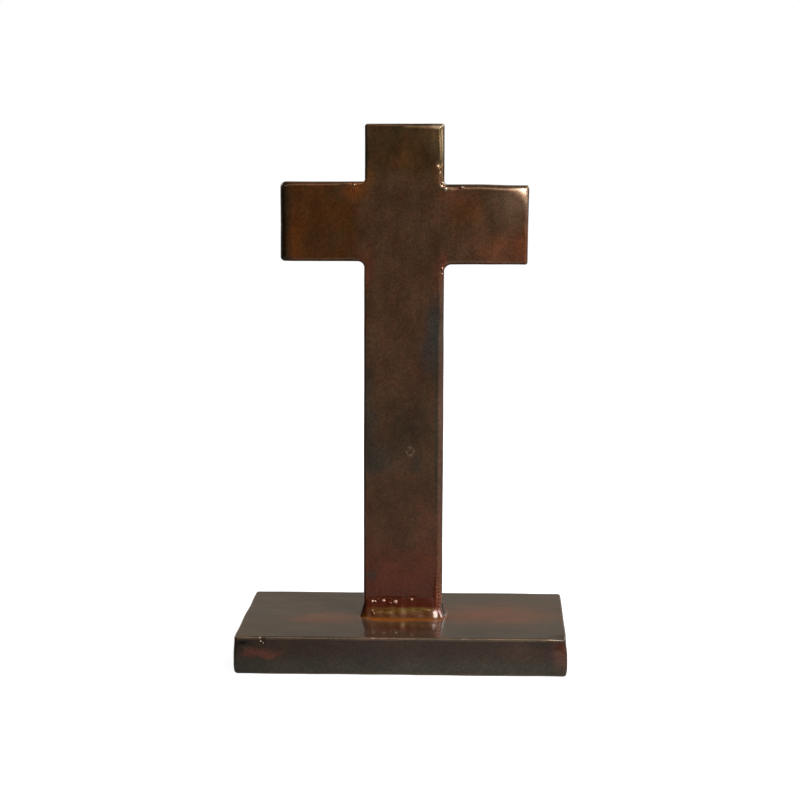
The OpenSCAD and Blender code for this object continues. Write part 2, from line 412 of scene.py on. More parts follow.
def skin(field, xs, ys, zs):
    """Quads on the field's surface: one vertex in each grid cell that the surface crosses."""
    values = lattice(field, xs, ys, zs)
    inside = values < 0
    lines = (xs, ys, zs)
    cells = tuple(n - 1 for n in values.shape)
    total = np.zeros(cells + (3,))
    count = np.zeros(cells)
    crossings = []
    for axis in range(3):
        first = [slice(None)] * 3
        second = [slice(None)] * 3
        first[axis] = slice(0, -1)
        second[axis] = slice(1, None)
        a, b = values[tuple(first)], values[tuple(second)]
        index = np.argwhere(inside[tuple(first)] != inside[tuple(second)])
        va, vb = a[tuple(index.T)], b[tuple(index.T)]
        points = np.stack([lines[k][index[:, k]] for k in range(3)], axis=1)
        span = lines[axis][index[:, axis] + 1] - lines[axis][index[:, axis]]
        points[:, axis] += span * va / (va - vb)
        crossings.append((axis, index, va < 0))
        others = [k for k in range(3) if k != axis]
        for du in (0, -1):
            for dv in (0, -1):
                cell = index.copy()
                cell[:, others[0]] += du
                cell[:, others[1]] += dv
                fits = np.all((cell >= 0) & (cell < cells), axis=1)
                np.add.at(total, tuple(cell[fits].T), points[fits])
                np.add.at(count, tuple(cell[fits].T), 1)
    used = count > 0
    number = np.full(cells, -1)
    number[used] = np.arange(used.sum())
    points = total[used] / count[used][:, None]
    quads = []
    for axis, index, starts_inside in crossings:
        u, v = [k for k in range(3) if k != axis]
        enclosed = np.ones(len(index), bool)
        for k in (u, v):
            enclosed &= (index[:, k] > 0) & (index[:, k] < cells[k])
        index, starts_inside = index[enclosed], starts_inside[enclosed]
        ring = []
        for du, dv in ((-1, -1), (0, -1), (0, 0), (-1, 0)):
            cell = index.copy()
            cell[:, u] += du
            cell[:, v] += dv
            ring.append(number[tuple(cell.T)])
        quad = np.stack(ring, axis=1)
        turn = starts_inside if axis != 1 else ~starts_inside
        quad[~turn] = quad[~turn][:, ::-1]
        quads.append(quad)
    # pull the vertices onto the surface
    for _ in range(5):
        slope = gradient(field, points)
        size = np.maximum((slope ** 2).sum(axis=1), 0.05)
        points -= np.clip(field(points) / size, -0.4, 0.4)[:, None] * slope
    return points, np.concatenate(quads)


def to_bmesh(points, quads):
    """A skin in metres, ready to be cut."""
    mesh = bpy.data.meshes.new("skin")
    mesh.from_pydata((points * MM).tolist(), [], quads.tolist())
    bm = bmesh.new()
    bm.from_mesh(mesh)
    bpy.data.meshes.remove(mesh)
    return bm


def cut(bm, point, normal):
    """Keeps what is behind a plane and closes the cut with a flat cap. point is in millimetres."""
    kept = bm.verts[:] + bm.edges[:] + bm.faces[:]
    bmesh.ops.bisect_plane(
        bm, geom=kept, dist=1e-7, plane_co=Vector(point) * MM, plane_no=Vector(normal), clear_outer=True
    )
    open_edges = [e for e in bm.edges if e.is_boundary]
    caps = bmesh.ops.holes_fill(bm, edges=open_edges, sides=0)["faces"]
    for face in caps:
        face.material_index = 1
        for edge in face.edges:
            edge.smooth = False


def finish(name, bm, field, node, material, edge_distance=None, plumb=False):
    """Turns a cut skin into a scene object that stands for a CAD node and rides its body."""
    mesh = bpy.data.meshes.new(name)
    caps = [f.material_index == 1 for f in bm.faces]
    for face in bm.faces:
        face.smooth = face.material_index == 0
        face.material_index = 0
    bm.to_mesh(mesh)
    bm.free()
    co = np.empty(len(mesh.vertices) * 3, np.float32)
    mesh.vertices.foreach_get("co", co)
    points = co.reshape(-1, 3).astype(float) / MM
    slope = gradient(field, points)
    slope /= np.maximum(np.linalg.norm(slope, axis=1), 1e-9)[:, None]
    loop_vertex = np.empty(len(mesh.loops), np.int32)
    mesh.loops.foreach_get("vertex_index", loop_vertex)
    normals = slope[loop_vertex]
    for polygon, cap in zip(mesh.polygons, caps):
        if cap:
            normals[list(polygon.loop_indices)] = polygon.normal
    mesh.normals_split_custom_set(normals.tolist())
    if edge_distance:
        values = mesh.attributes.new("edge", "FLOAT", "POINT")
        values.data.foreach_set("value", edge_distance(points).astype(np.float32))
    if not plumb:
        points[:, 0] += LEAN * (points[:, 2] - PLUMB_HEIGHT)
        mesh.vertices.foreach_set("co", (points * MM).astype(np.float32).ravel())
    ob = bpy.data.objects.new(name, mesh)
    bpy.context.scene.collection.objects.link(ob)
    mesh.materials.append(material)
    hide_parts(node)
    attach(ob, "root")


# ---- Materials ----

def linear(*srgb):
    """A colour given as 0 to 255 on a screen, as the linear colour that nodes use."""
    share = [c / 255 for c in srgb]
    return tuple(c / 12.92 if c <= 0.04045 else ((c + 0.055) / 1.055) ** 2.4 for c in share)


class Recipe:
    """A material's node tree, with a short word for each kind of node that is used."""

    def __init__(self, name):
        self.material = bpy.data.materials.new(name)
        self.material.use_nodes = True
        self.tree = self.material.node_tree
        self.shader = self.tree.nodes["Principled BSDF"]
        where = self.tree.nodes.new("ShaderNodeTexCoord").outputs["Object"]
        self.place = self.vector("SCALE", where, scale=1 / MM)
        self.x, self.y, self.z = self.parts(self.place)

    def put(self, socket, value):
        """Links a socket to an output, or sets it to a plain value."""
        if isinstance(value, bpy.types.NodeSocket):
            self.tree.links.new(value, socket)
        elif socket.type == "RGBA":
            socket.default_value = (*value, 1)
        else:
            socket.default_value = value

    def vector(self, operation, a, b=None, scale=None):
        """A vector operation; LENGTH gives a value, and all others a vector."""
        node = self.tree.nodes.new("ShaderNodeVectorMath")
        node.operation = operation
        self.put(node.inputs[0], a)
        if b is not None:
            self.put(node.inputs[1], b)
        if scale is not None:
            self.put(node.inputs["Scale"], scale)
        return node.outputs["Value" if operation == "LENGTH" else "Vector"]

    def parts(self, vector):
        """The x, y and z of a vector."""
        node = self.tree.nodes.new("ShaderNodeSeparateXYZ")
        self.put(node.inputs[0], vector)
        return tuple(node.outputs)

    def math(self, operation, a, b=0.0):
        """An operation on one or two values."""
        node = self.tree.nodes.new("ShaderNodeMath")
        node.operation = operation
        self.put(node.inputs[0], a)
        self.put(node.inputs[1], b)
        return node.outputs[0]

    def product(self, first, *others):
        """All the values multiplied together."""
        for other in others:
            first = self.math("MULTIPLY", first, other)
        return first

    def ramp(self, value, low, high, start=0.0, end=1.0):
        """value from low to high becomes start to end, eased and clamped."""
        node = self.tree.nodes.new("ShaderNodeMapRange")
        node.interpolation_type = "SMOOTHSTEP"
        for socket, given in zip(node.inputs, (value, low, high, start, end)):
            self.put(socket, given)
        return node.outputs[0]

    def mix(self, share, a, b, blend="MIX"):
        """Colour b laid over colour a, as much as share says."""
        node = self.tree.nodes.new("ShaderNodeMix")
        node.data_type = "RGBA"
        node.blend_type = blend
        self.put(node.inputs[0], share)
        self.put(node.inputs[6], a)
        self.put(node.inputs[7], b)
        return node.outputs[2]

    def noise(self, size, stretch=(1, 1, 1), detail=3.0, rough=0.5, shift=0.0, place=None):
        """Noise between 0 and 1 whose blotches are about size millimetres across."""
        place = self.vector("MULTIPLY", place or self.place, tuple(1 / k for k in stretch))
        place = self.vector("ADD", place, (shift, shift * 1.7, shift * 0.6))
        node = self.tree.nodes.new("ShaderNodeTexNoise")
        self.put(node.inputs["Vector"], place)
        node.inputs["Scale"].default_value = 1 / size
        node.inputs["Detail"].default_value = detail
        node.inputs["Roughness"].default_value = rough
        return node.outputs["Fac"]

    def warped(self, amount, size):
        """The place, pushed about by noise, so that patches get ragged borders."""
        node = self.tree.nodes.new("ShaderNodeTexNoise")
        self.put(node.inputs["Vector"], self.place)
        node.inputs["Scale"].default_value = 1 / size
        node.inputs["Detail"].default_value = 4
        push = self.vector("SUBTRACT", node.outputs["Color"], (0.5, 0.5, 0.5))
        return self.vector("ADD", self.place, self.vector("SCALE", push, scale=amount))

    def patch(self, place, centre, size, strength=1.0, core=0.0):
        """strength inside the core of an ellipsoid, falling to 0 at its border."""
        offset = self.vector("SUBTRACT", place, centre)
        offset = self.vector("MULTIPLY", offset, tuple(1 / k for k in size))
        return self.ramp(self.vector("LENGTH", offset), core, 1.0, strength, 0.0)

    def spots(self, places):
        """1 inside each small ball of a list of (x, y, z, radius), and 0 outside."""
        total = 0.0
        for x, y, z, radius in places:
            ball = self.patch(self.place, (x, y, z), (radius, radius, radius), 1.0, 0.6)
            total = self.math("MAXIMUM", ball, total)
        return total

    def bump(self, height, distance, strength=1.0, under=None):
        """A normal tilted by a height, on top of the normal under it."""
        node = self.tree.nodes.new("ShaderNodeBump")
        node.inputs["Strength"].default_value = strength
        node.inputs["Distance"].default_value = distance
        self.put(node.inputs["Height"], height)
        if under is not None:
            self.put(node.inputs["Normal"], under)
        return node.outputs[0]

    def shaded(self, colour, value):
        """A colour made darker or lighter by a value."""
        return self.vector("SCALE", colour, scale=value)

    def painted(self, colour, share, *srgb):
        """A share of a screen colour laid over a colour."""
        return self.mix(share, colour, linear(*srgb))

    def edge(self):
        """Distance from the piece's nearest edge, stored with its mesh."""
        node = self.tree.nodes.new("ShaderNodeAttribute")
        node.attribute_name = "edge"
        return node.outputs["Fac"]

    def depth(self):
        """How far below the plate's top a point lies."""
        return self.math("SUBTRACT", GROUND_TOP, self.z)

    def connect(self, colour, roughness, normal, metallic, coat, coat_roughness):
        """Feeds the shader, and gives back the material."""
        for name, value in (
            ("Base Color", colour), ("Roughness", roughness), ("Normal", normal),
            ("Metallic", metallic), ("Coat Weight", coat), ("Coat Roughness", coat_roughness),
        ):
            self.put(self.shader.inputs[name], value)
        return self.material


# Pale bare-metal paint on the beads of spatter, a painted highlight on each: (middle x, y and z,
# radius)
BAR_BEAD_GLINTS = [
    (18.4, FRONT - 0.4, 225.8, 1.0), (17.7, FRONT - 0.6, 224.3, 1.2), (19.8, FRONT - 0.7, 223.1, 1.5),
    (27.4, FRONT - 0.4, 223.9, 0.9), (-23.3, FRONT - 0.4, 225.0, 0.7),
]
FOOT_BEAD_GLINTS = [
    (-14.9, FRONT - 0.4, 25.4, 0.9), (-13.6, FRONT - 0.4, 25.5, 0.7), (-9.6, FRONT - 0.4, 25.7, 1.0),
    (-3.9, FRONT - 0.6, 25.2, 1.3), (3.9, FRONT - 0.5, 26.5, 1.0),
]

DEEP = 1000  # reach of a patch that goes right through the object

# The metal under the lacquer reflects this much more than the colours seen on it
GAIN = 2.6
WELD_GAIN = 1.6
METALLIC = 0.75

# Roughness stays at 0.28 or more, apart from the beads: where noise took it across about 0.275,
# small curly marks showed along the line in the render

# The oil was wiped off at this angle from level
WIPE_ANGLE = math.radians(35)


def tinted(r, colour, seed, along):
    """Oil-rubbed unevenness: cloudy tone, patches that lean to red or to green, and fine speckle."""
    clouds = r.ramp(r.noise(13, along, 6, 0.62, seed), 0.3, 0.7, 0.84, 1.14)
    colour = r.shaded(colour, clouds)
    lean = r.ramp(r.noise(5, along, 6, 0.68, seed + 3), 0.32, 0.68)
    hue = r.mix(lean, (0.93, 1.03, 0.99), (1.07, 0.97, 0.95))
    colour = r.mix(1.0, colour, hue, "MULTIPLY")
    turn = r.tree.nodes.new("ShaderNodeVectorRotate")
    turn.rotation_type = "Y_AXIS"
    r.put(turn.inputs["Vector"], r.place)
    turn.inputs["Angle"].default_value = WIPE_ANGLE
    wiped = r.ramp(r.noise(1.6, (7, 1, 1), 4, 0.6, seed + 9, turn.outputs[0]), 0.3, 0.7, 0.95, 1.05)
    colour = r.shaded(colour, wiped)
    speckle = r.ramp(r.noise(0.9, (1, 1, 1), 2, 0.7, seed + 5), 0.3, 0.7, 0.78, 1.22)
    return r.shaded(colour, speckle)


def patina_bar():
    """Heat-tinted, oil-rubbed steel bar under clear lacquer."""
    r = Recipe("bar_steel")
    ragged = r.warped(15, 16)
    eased = r.warped(4, 6)
    rx, _, rz = r.parts(ragged)

    def spot(colour, x, z, wide, high, strength, *srgb):
        """A ragged patch right through the bar, given by its middle and its half sizes."""
        share = r.patch(ragged, (x, 0, z), (wide, DEEP, high), strength, 0.25)
        return r.painted(colour, share, *srgb)

    colour = linear(73, 50, 34)
    # the left arm is tinted orange, and goes dark towards its end
    colour = r.painted(colour, r.ramp(rx, -15, -28), 71, 41, 17)
    colour = spot(colour, -50, 198, 9, 13, 0.7, 82, 45, 14)
    colour = spot(colour, -28, 223, 13, 6, 0.5, 56, 44, 26)
    colour = spot(colour, -36, 198, 12, 8, 0.5, 62, 42, 22)
    colour = r.painted(colour, r.ramp(r.x, -51, -57.5), 38, 28, 16)
    # the right arm is brown, red along its foot, and grey where it is ground back, painted lighter near
    # its corner as a painted sheen
    colour = spot(colour, 29, 212, 13, 14, 0.8, 82, 50, 28)
    colour = spot(colour, 47, 212, 13, 11, 0.7, 74, 55, 38)
    colour = spot(colour, 48, 193, 24, 12, 0.9, 92, 55, 36)
    colour = spot(colour, 57, 196, 6, 13, 0.7, 104, 58, 34)
    # painted sheen: a pale grey patch in the ground top right corner
    colour = spot(colour, 55, 219, 10, 9, 0.35, 100, 80, 64)
    # the top goes olive, with a golden middle
    colour = r.painted(colour, r.ramp(rz, 224, 236), 61, 43, 24)
    colour = spot(colour, 0, 238, 17, 16, 0.7, 67, 43, 19)
    colour = spot(colour, 15, 240, 5, 14, 0.5, 64, 50, 32)
    # the shaft: brown, darker in the middle, reddening towards the foot
    colour = spot(colour, 2, 110, 18, 20, 0.85, 50, 36, 23)
    colour = spot(colour, 4, 150, 20, 26, 0.6, 72, 48, 33)
    colour = r.painted(colour, r.ramp(rz, 92, 72), 66, 43, 29)
    colour = spot(colour, 10, 62, 9, 22, 0.5, 80, 50, 35)
    colour = r.painted(colour, r.ramp(rz, 60, 36), 72, 31, 14)
    # blue-grey heat tint down the shaft's sides
    colour = spot(colour, 14, 154, 8, 25, 0.9, 54, 50, 46)
    colour = spot(colour, -20, 118, 10, 44, 0.7, 43, 44, 38)
    colour = spot(colour, -12, 95, 13, 13, 0.65, 43, 44, 38)
    colour = spot(colour, 6, 91, 9, 6, 0.45, 43, 44, 38)
    colour = spot(colour, -16, 36, 5, 4, 0.6, 46, 38, 32)
    # a greenish line beside the front right edge
    stretch = r.patch(r.place, (15, 0, 106), (DEEP, DEEP, 46), 0.7, 0.4)
    line = r.product(r.ramp(r.x, 14.4, 15.3), r.ramp(r.x, 16.4, 15.7), stretch)
    colour = r.painted(colour, line, 44, 46, 34)
    # orange bloom where the arms were welded on
    for x, z, wide, high, share, srgb in (
        (-17, 229, 5, 9, 0.7, (88, 56, 24)), (-23, 222, 9, 7, 0.8, (104, 56, 24)),
        (-18, 186, 6, 13, 0.7, (98, 54, 36)), (17, 229, 5, 9, 0.6, (92, 60, 38)),
        (22, 219, 10, 6, 0.6, (94, 56, 36)), (18, 184, 5, 13, 0.8, (98, 56, 40)),
    ):
        bloom = r.patch(eased, (x, 0, z), (wide, DEEP, high), share, 0.1)
        colour = r.painted(colour, bloom, *srgb)
    # the front right edge was rubbed back to pink and orange, and is painted lighter as a painted
    # highlight of its rounding
    across = r.product(r.ramp(r.x, 15.9, 17.0), r.ramp(r.x, 21.5, 19.8))
    rubbed_and_highlight_strip = r.product(across, r.ramp(r.y, -3.0, -4.6), r.ramp(r.z, 188, 180))
    colour = r.painted(colour, r.product(rubbed_and_highlight_strip, r.ramp(r.z, 176, 120, 0.25, 0.8)), 86, 64, 52)
    colour = r.painted(colour, r.product(rubbed_and_highlight_strip, r.ramp(r.z, 84, 40, 0, 0.8)), 98, 60, 42)
    colour = tinted(r, colour, 0, (1, 1, 1.5))
    # faint upright brush strokes, and specks where the oil has pooled
    strokes = r.ramp(r.noise(1.1, (1, 1, 16), 4, 0.6, 3), 0.25, 0.75, 0.94, 1.06)
    colour = r.shaded(colour, strokes)
    specks = r.ramp(r.noise(1.4, (1, 1, 1.4), 2, 0.5, 11), 0.68, 0.76, 0.0, 0.45)
    colour = r.painted(colour, specks, 34, 26, 20)
    # painted shade and highlight: above the arms the front edges are painted dark, with a painted
    # highlight line inside the right one
    frontal = r.ramp(r.y, FRONT + 2.8, FRONT + 1.0)
    above = r.product(r.ramp(r.z, 226, 230), frontal)
    pale = r.product(r.ramp(r.x, 16.6, 17.1), r.ramp(r.z, 228, 246, 0.3, 0.75), above)
    colour = r.painted(colour, pale, 102, 84, 56)
    colour = r.painted(colour, r.product(r.ramp(r.x, 18.3, 18.7), above), 26, 20, 14)
    colour = r.painted(colour, r.product(r.ramp(r.x, -16.8, -17.5, 0, 0.9), above), 30, 28, 22)
    # painted shade: below the arms the front left edge is painted darker than the face
    lower = r.product(r.ramp(r.z, 190, 185), frontal)
    colour = r.painted(colour, r.product(r.ramp(r.x, -18.1, -18.7, 0, 0.5), lower), 26, 22, 18)
    # painted highlights: pale, bare-looking metal in the two ground corners; pale metal in the nick
    # below the stub's corner; painted shade darkening the gouge beside the beads above the right arm,
    # red at its end
    for centre, size, strength, core, srgb in (
        ((19, FRONT, 253.6), (9, 4, 3.4), 0.95, 0.3, (122, 106, 84)),
        ((60, FRONT, 226), (13, 4, 8), 0.9, 0.3, (118, 100, 80)),
        ((17.5, FRONT, 234.3), (1.3, 3, 1.8), 0.9, 0.4, (122, 100, 66)),
        ((23.6, FRONT, 224.6), (3.0, 3, 1.4), 0.9, 0.6, (40, 36, 22)),
        ((26.3, FRONT, 223.9), (1.0, 3, 1.2), 0.9, 0.4, (74, 22, 16)),
    ):
        colour = r.painted(colour, r.patch(r.place, centre, size, strength, core), *srgb)
    # the long edges are rubbed back a little
    uneven = r.ramp(r.noise(5, (1, 1, 3), 4), 0.35, 0.65, 0.2, 1)
    colour = r.painted(colour, r.product(r.ramp(r.edge(), 2.2, 0.4), uneven, 0.25), 104, 76, 60)
    # a broken ring-shaped scuff half way down the shaft's front
    offset = r.vector("SUBTRACT", eased, (3.3, FRONT, 98.4))
    offset = r.vector("MULTIPLY", offset, (1, 0.3, 1))
    off_ring = r.math("ABSOLUTE", r.math("SUBTRACT", r.vector("LENGTH", offset), 1.9))
    broken = r.ramp(r.noise(1.3), 0.42, 0.55)
    scuff = r.product(r.ramp(off_ring, 1.1, 0.2, 0, 0.3), broken)
    colour = r.painted(colour, scuff, 140, 122, 104)
    beads = r.spots(BAR_BEAD_GLINTS)
    # painted highlights: the beads are painted pale, as bare metal
    colour = r.painted(colour, beads, 136, 120, 98)
    roughness = r.ramp(r.noise(7, (1, 1, 2), 5, 0.6, 5), 0.2, 0.8, 0.28, 0.42)
    roughness = r.product(roughness, r.ramp(beads, 0, 1, 1, 0.5))
    normal = r.bump(r.noise(0.5, (1, 1, 26), 3, 0.6, 17), 0.003 * MM, 0.5)
    normal = r.bump(r.noise(1.1, (1, 1, 1), 3, 0.6, 23), 0.02 * MM, 0.5, normal)
    return r.connect(r.shaded(colour, GAIN), roughness, normal, METALLIC, 0.6, 0.12)


def patina_plate():
    """The base plate: the same finish, greyer, with a warm bloom round the foot."""
    r = Recipe("plate_steel")
    ragged = r.warped(16, 16)

    def spot(colour, centre, size, strength, *srgb):
        """A ragged patch, given by its middle and its half sizes."""
        return r.painted(colour, r.patch(ragged, centre, size, strength, 0.2), *srgb)

    colour = linear(72, 56, 43)
    colour = r.painted(colour, r.ramp(r.noise(34, (1, 1, 1), 3, 0.5, 2), 0.35, 0.65), 66, 57, 45)
    # the top: a red streak and a grey smudge left of the foot, a wide red bloom right of it
    colour = spot(colour, (-38, -10, 20), (28, 18, 12), 0.75, 108, 62, 38)
    colour = spot(colour, (-31, 14, 20), (14, 12, 12), 0.8, 48, 50, 42)
    colour = spot(colour, (44, 0, 20), (46, 36, 12), 0.85, 108, 62, 40)
    colour = spot(colour, (33, -4, 20), (20, 14, 12), 0.6, 118, 60, 38)
    # painted reflection: the top in front of and behind the foot is painted the dark red brown of the
    # upright mirrored in it
    for y in (-24, 24):
        colour = r.painted(colour, r.patch(r.place, (0, y, 18), (22, 17, 9), 0.9, 0.3), 66, 38, 20)
    # an orange halo of heat tint round the foot, with a wandering border
    away = r.vector("SUBTRACT", r.vector("ABSOLUTE", r.warped(7, 14)), (11.5, 8.0, DEEP))
    beyond = r.vector("LENGTH", r.vector("MAXIMUM", away, (0, 0, 0)))
    heat = r.product(r.ramp(beyond, 12, 5), r.ramp(r.depth(), 0.9, 0.5))
    colour = r.painted(colour, heat, 94, 50, 3)
    # the sides are browner and darker than the top
    side = r.ramp(r.depth(), 0.9, 1.8)
    # the front is painted greyer and lighter towards the bottom, a painted reflection of the pale floor
    front = r.mix(r.ramp(r.z, 12, 2), linear(40, 26, 17), linear(48, 43, 35))
    front = spot(front, (-66, -51, 9.6), (14, 9, 4), 0.9, 74, 40, 29)
    front = spot(front, (-73, -51, 15.0), (7, 9, 3), 0.95, 22, 17, 14)
    front = spot(front, (74, -51, 10), (6, 11, 9), 0.7, 78, 48, 38)
    # painted shade: the middle of the front is painted darker
    front = spot(front, (-10, -51, 8), (26, 9, 7), 0.6, 36, 28, 22)
    front = spot(front, (56, -51, 12), (16, 9, 6), 0.6, 54, 38, 28)
    colour = r.mix(side, colour, front)
    colour = tinted(r, colour, 7, (1.5, 1, 1))
    specks = r.ramp(r.noise(1.5, (1.4, 1, 1), 2, 0.5, 12), 0.7, 0.78, 0.0, 0.3)
    colour = r.painted(colour, r.product(specks, side), 34, 28, 24)
    uneven = r.ramp(r.noise(5, (2.4, 1, 1), 5), 0.35, 0.65, 0.2, 1)
    colour = r.painted(colour, r.product(r.ramp(r.edge(), 1.5, 0.3), uneven, 0.6), 104, 82, 66)
    roughness = r.ramp(r.noise(9, (2, 1, 1), 5, 0.6, 5), 0.2, 0.8, 0.28, 0.36)
    roughness = r.product(roughness, r.ramp(heat, 0, 1, 1, 1.4))
    normal = r.bump(r.noise(0.5, (20, 1, 1), 3, 0.6, 17), 0.002 * MM, 0.5)
    normal = r.bump(r.noise(1.2, (1, 1, 1), 3, 0.6, 23), 0.012 * MM, 0.5, normal)
    metallic = r.ramp(heat, 0, 1, METALLIC, 0.15)
    coat = r.ramp(heat, 0, 1, 0.6, 0.2)
    return r.connect(r.shaded(colour, GAIN), roughness, normal, metallic, coat, 0.07)


def patina_weld():
    """The foot weld: red brown above, olive on its hollow face with a painted sheen, orange at its toe.
    """
    r = Recipe("weld_metal")
    ragged = r.warped(1.8, 2.5)
    _, _, rz = r.parts(ragged)
    colour = linear(76, 27, 9)
    # the olive band is partly a straw heat tint and partly a painted sheen, where the hollow face
    # catches light from above
    middle = r.patch(r.place, (-1, 0, 21.5), (19, DEEP, 20), 1.0, 0.5)
    mottled = r.ramp(r.noise(2.6, (3.5, 1, 1), 4), 0.35, 0.6, 0.3, 1)
    olive_tint_and_sheen = r.product(r.ramp(rz, 23.2, 22.0), r.ramp(rz, 19.0, 20.2), middle, mottled)
    colour = r.painted(colour, olive_tint_and_sheen, 99, 76, 31)
    colour = r.painted(colour, r.ramp(rz, 20.0, 19.0), 72, 37, 3)
    # the ends of the front run are painted dark
    for x in (-20.5, 20.5):
        colour = r.painted(colour, r.patch(ragged, (x, -5, 23), (3.6, 7, 6), 0.9, 0.4), 20, 14, 9)
    speckle = r.ramp(r.noise(0.8, (1, 1, 1), 4, 0.6, 3), 0.25, 0.75, 0.75, 1.25)
    colour = r.shaded(colour, speckle)
    beads = r.spots(FOOT_BEAD_GLINTS)
    # painted highlights: the beads are painted pale, as bare metal
    colour = r.painted(colour, beads, 170, 140, 120)
    roughness = r.ramp(r.noise(2, (1, 1, 1), 4, 0.6, 5), 0.2, 0.8, 0.28, 0.4)
    roughness = r.product(roughness, r.ramp(beads, 0, 1, 1, 0.5))
    normal = r.bump(r.noise(1.0, (1, 1, 1), 3, 0.6, 23), 0.03 * MM, 0.5)
    # the lacquer ran thick at the right-hand end
    coat = r.ramp(r.x, 11, 14, 0.15, 0.8)
    return r.connect(r.shaded(colour, WELD_GAIN), roughness, normal, 0.35, coat, 0.12)


bar_steel = patina_bar()
plate_steel = patina_plate()
weld_metal = patina_weld()


# ---- Building the pieces ----

# Steps of the grids where the shape is small or rounded
FINE = 0.3
MIDDLING = 0.5

xs = spaced(
    LEFT_LOW[0] - 1, RIGHT_HIGH[0] + 1, 1.3,
    [
        (LEFT_LOW[0] - 1, LEFT_LOW[0] + 5, FINE),
        (-HALF_WIDTH - 4, -HALF_WIDTH + 3, FINE),
        (HALF_WIDTH - 4, HALF_WIDTH + 5, FINE),
        (RIGHT_HIGH[0] - 16, RIGHT_HIGH[0] - 3, MIDDLING),
        (RIGHT_HIGH[0] - 3, RIGHT_HIGH[0] + 1, FINE),
    ],
    [LEFT_LOW[0] - 0.4, -HALF_WIDTH, HALF_WIDTH],
)
ys = spaced(
    -HALF_THICK - 0.9, HALF_THICK + 0.9, 0.9,
    [(-HALF_THICK - 0.9, -HALF_THICK + 3, FINE), (HALF_THICK - 2.2, HALF_THICK + 0.9, FINE)],
    [-HALF_THICK + INSET, HALF_THICK - INSET],
)
zs = spaced(
    GROUND_TOP - 2, TOP + 1, 1.2,
    [
        (GROUND_TOP - 2, GROUND_TOP + 35, FINE),
        (RIGHT_LOW[2] - 6, LEFT_LOW[2] + 3, FINE),
        (RIGHT_HIGH[2] - 10, RIGHT_HIGH[2] - 3, MIDDLING),
        (RIGHT_HIGH[2] - 3, LEFT_HIGH[2] + 3, FINE),
        (TOP - 3, TOP + 1, FINE),
    ],
    [RIGHT_LOW[2], LEFT_LOW[2], RIGHT_HIGH[2] + 0.3, LEFT_HIGH[2] + 0.3, TOP - INSET],
)
points, quads = skin(cross_field, xs, ys, zs)
whole = to_bmesh(points, quads)
cut(whole, (0, 0, GROUND_TOP), (0, 0, -1))

# The cuts between the bars stand this far outside the bars' faces, so that they never graze them
CLEAR = 0.55

upright = whole.copy()
cut(upright, (HALF_WIDTH + CLEAR, 0, 0), (1, 0, 0))
cut(upright, (-HALF_WIDTH - CLEAR, 0, 0), (-1, 0, 0))
finish("upright_bar", upright, cross_field, "upright", bar_steel, cross_edge)

for word, side, low, high in (("left", -1, LEFT_LOW, LEFT_HIGH), ("right", 1, RIGHT_LOW, RIGHT_HIGH)):
    half = whole.copy()
    cut(half, (side * (HALF_WIDTH + CLEAR), 0, 0), (-side, 0, 0))
    above = half.copy()
    cut(above, (0, 0, high[2] + CLEAR), (0, 0, -1))
    under = half.copy()
    cut(under, (0, 0, low[2] - CLEAR), (0, 0, 1))
    cut(half, (0, 0, high[2] + CLEAR), (0, 0, 1))
    cut(half, (0, 0, low[2] - CLEAR), (0, 0, -1))
    for face_word, back in (("front", -1), ("rear", 1)):
        groove = half.copy()
        hinge = (side * HALF_WIDTH, back * (HALF_THICK - GROOVE), 0)
        cut(groove, hinge, (side, -back, 0))
        cut(half, hinge, (-side, back, 0))
        name = f"{word}_arm_{face_word}_weld"
        finish(name + "_bead", groove, cross_field, name, bar_steel, cross_edge)
    finish(f"{word}_arm_bar", half, cross_field, f"{word}_arm", bar_steel, cross_edge)
    for place, bm in (("upper", above), ("lower", under)):
        name = f"{word}_arm_{place}_corner_weld"
        finish(name + "_bead", bm, cross_field, name, bar_steel, cross_edge)
whole.free()

# The plate's grid goes this far outside it, and is fine this far in from its faces
OUTSIDE = 0.8
RIM = 3

xs = spaced(
    PLATE_LOW[0] - OUTSIDE, PLATE_HIGH[0] + OUTSIDE, 1.6,
    [
        (PLATE_LOW[0] - OUTSIDE, PLATE_LOW[0] + RIM, FINE),
        (-66, -61, FINE),  # the nick near the left end
        (PLATE_HIGH[0] - RIM, PLATE_HIGH[0] + OUTSIDE, FINE),
    ],
    [PLATE_LOW[0] + INSET, PLATE_HIGH[0] - INSET],
)
ys = spaced(
    PLATE_LOW[1] - OUTSIDE, PLATE_HIGH[1] + OUTSIDE, 1.6,
    [
        (PLATE_LOW[1] - OUTSIDE, PLATE_LOW[1] + RIM, FINE),
        (PLATE_HIGH[1] - RIM, PLATE_HIGH[1] + OUTSIDE, FINE),
    ],
    [PLATE_LOW[1] + INSET, PLATE_HIGH[1] - INSET],
)
zs = spaced(
    -OUTSIDE, GROUND_TOP + OUTSIDE, 0.9,
    [(-OUTSIDE, RIM, FINE), (GROUND_TOP - RIM, GROUND_TOP + OUTSIDE, FINE)],
    [INSET, GROUND_TOP - INSET],
)
points, quads = skin(plate_field, xs, ys, zs)
finish("base_plate_slab", to_bmesh(points, quads), plate_field, "base_plate",
         plate_steel, plate_edge, plumb=True)

# The front and rear runs of the foot weld take the corners, and meet the side runs this far
# inside the bar's front and rear faces
SUNK = 0.1

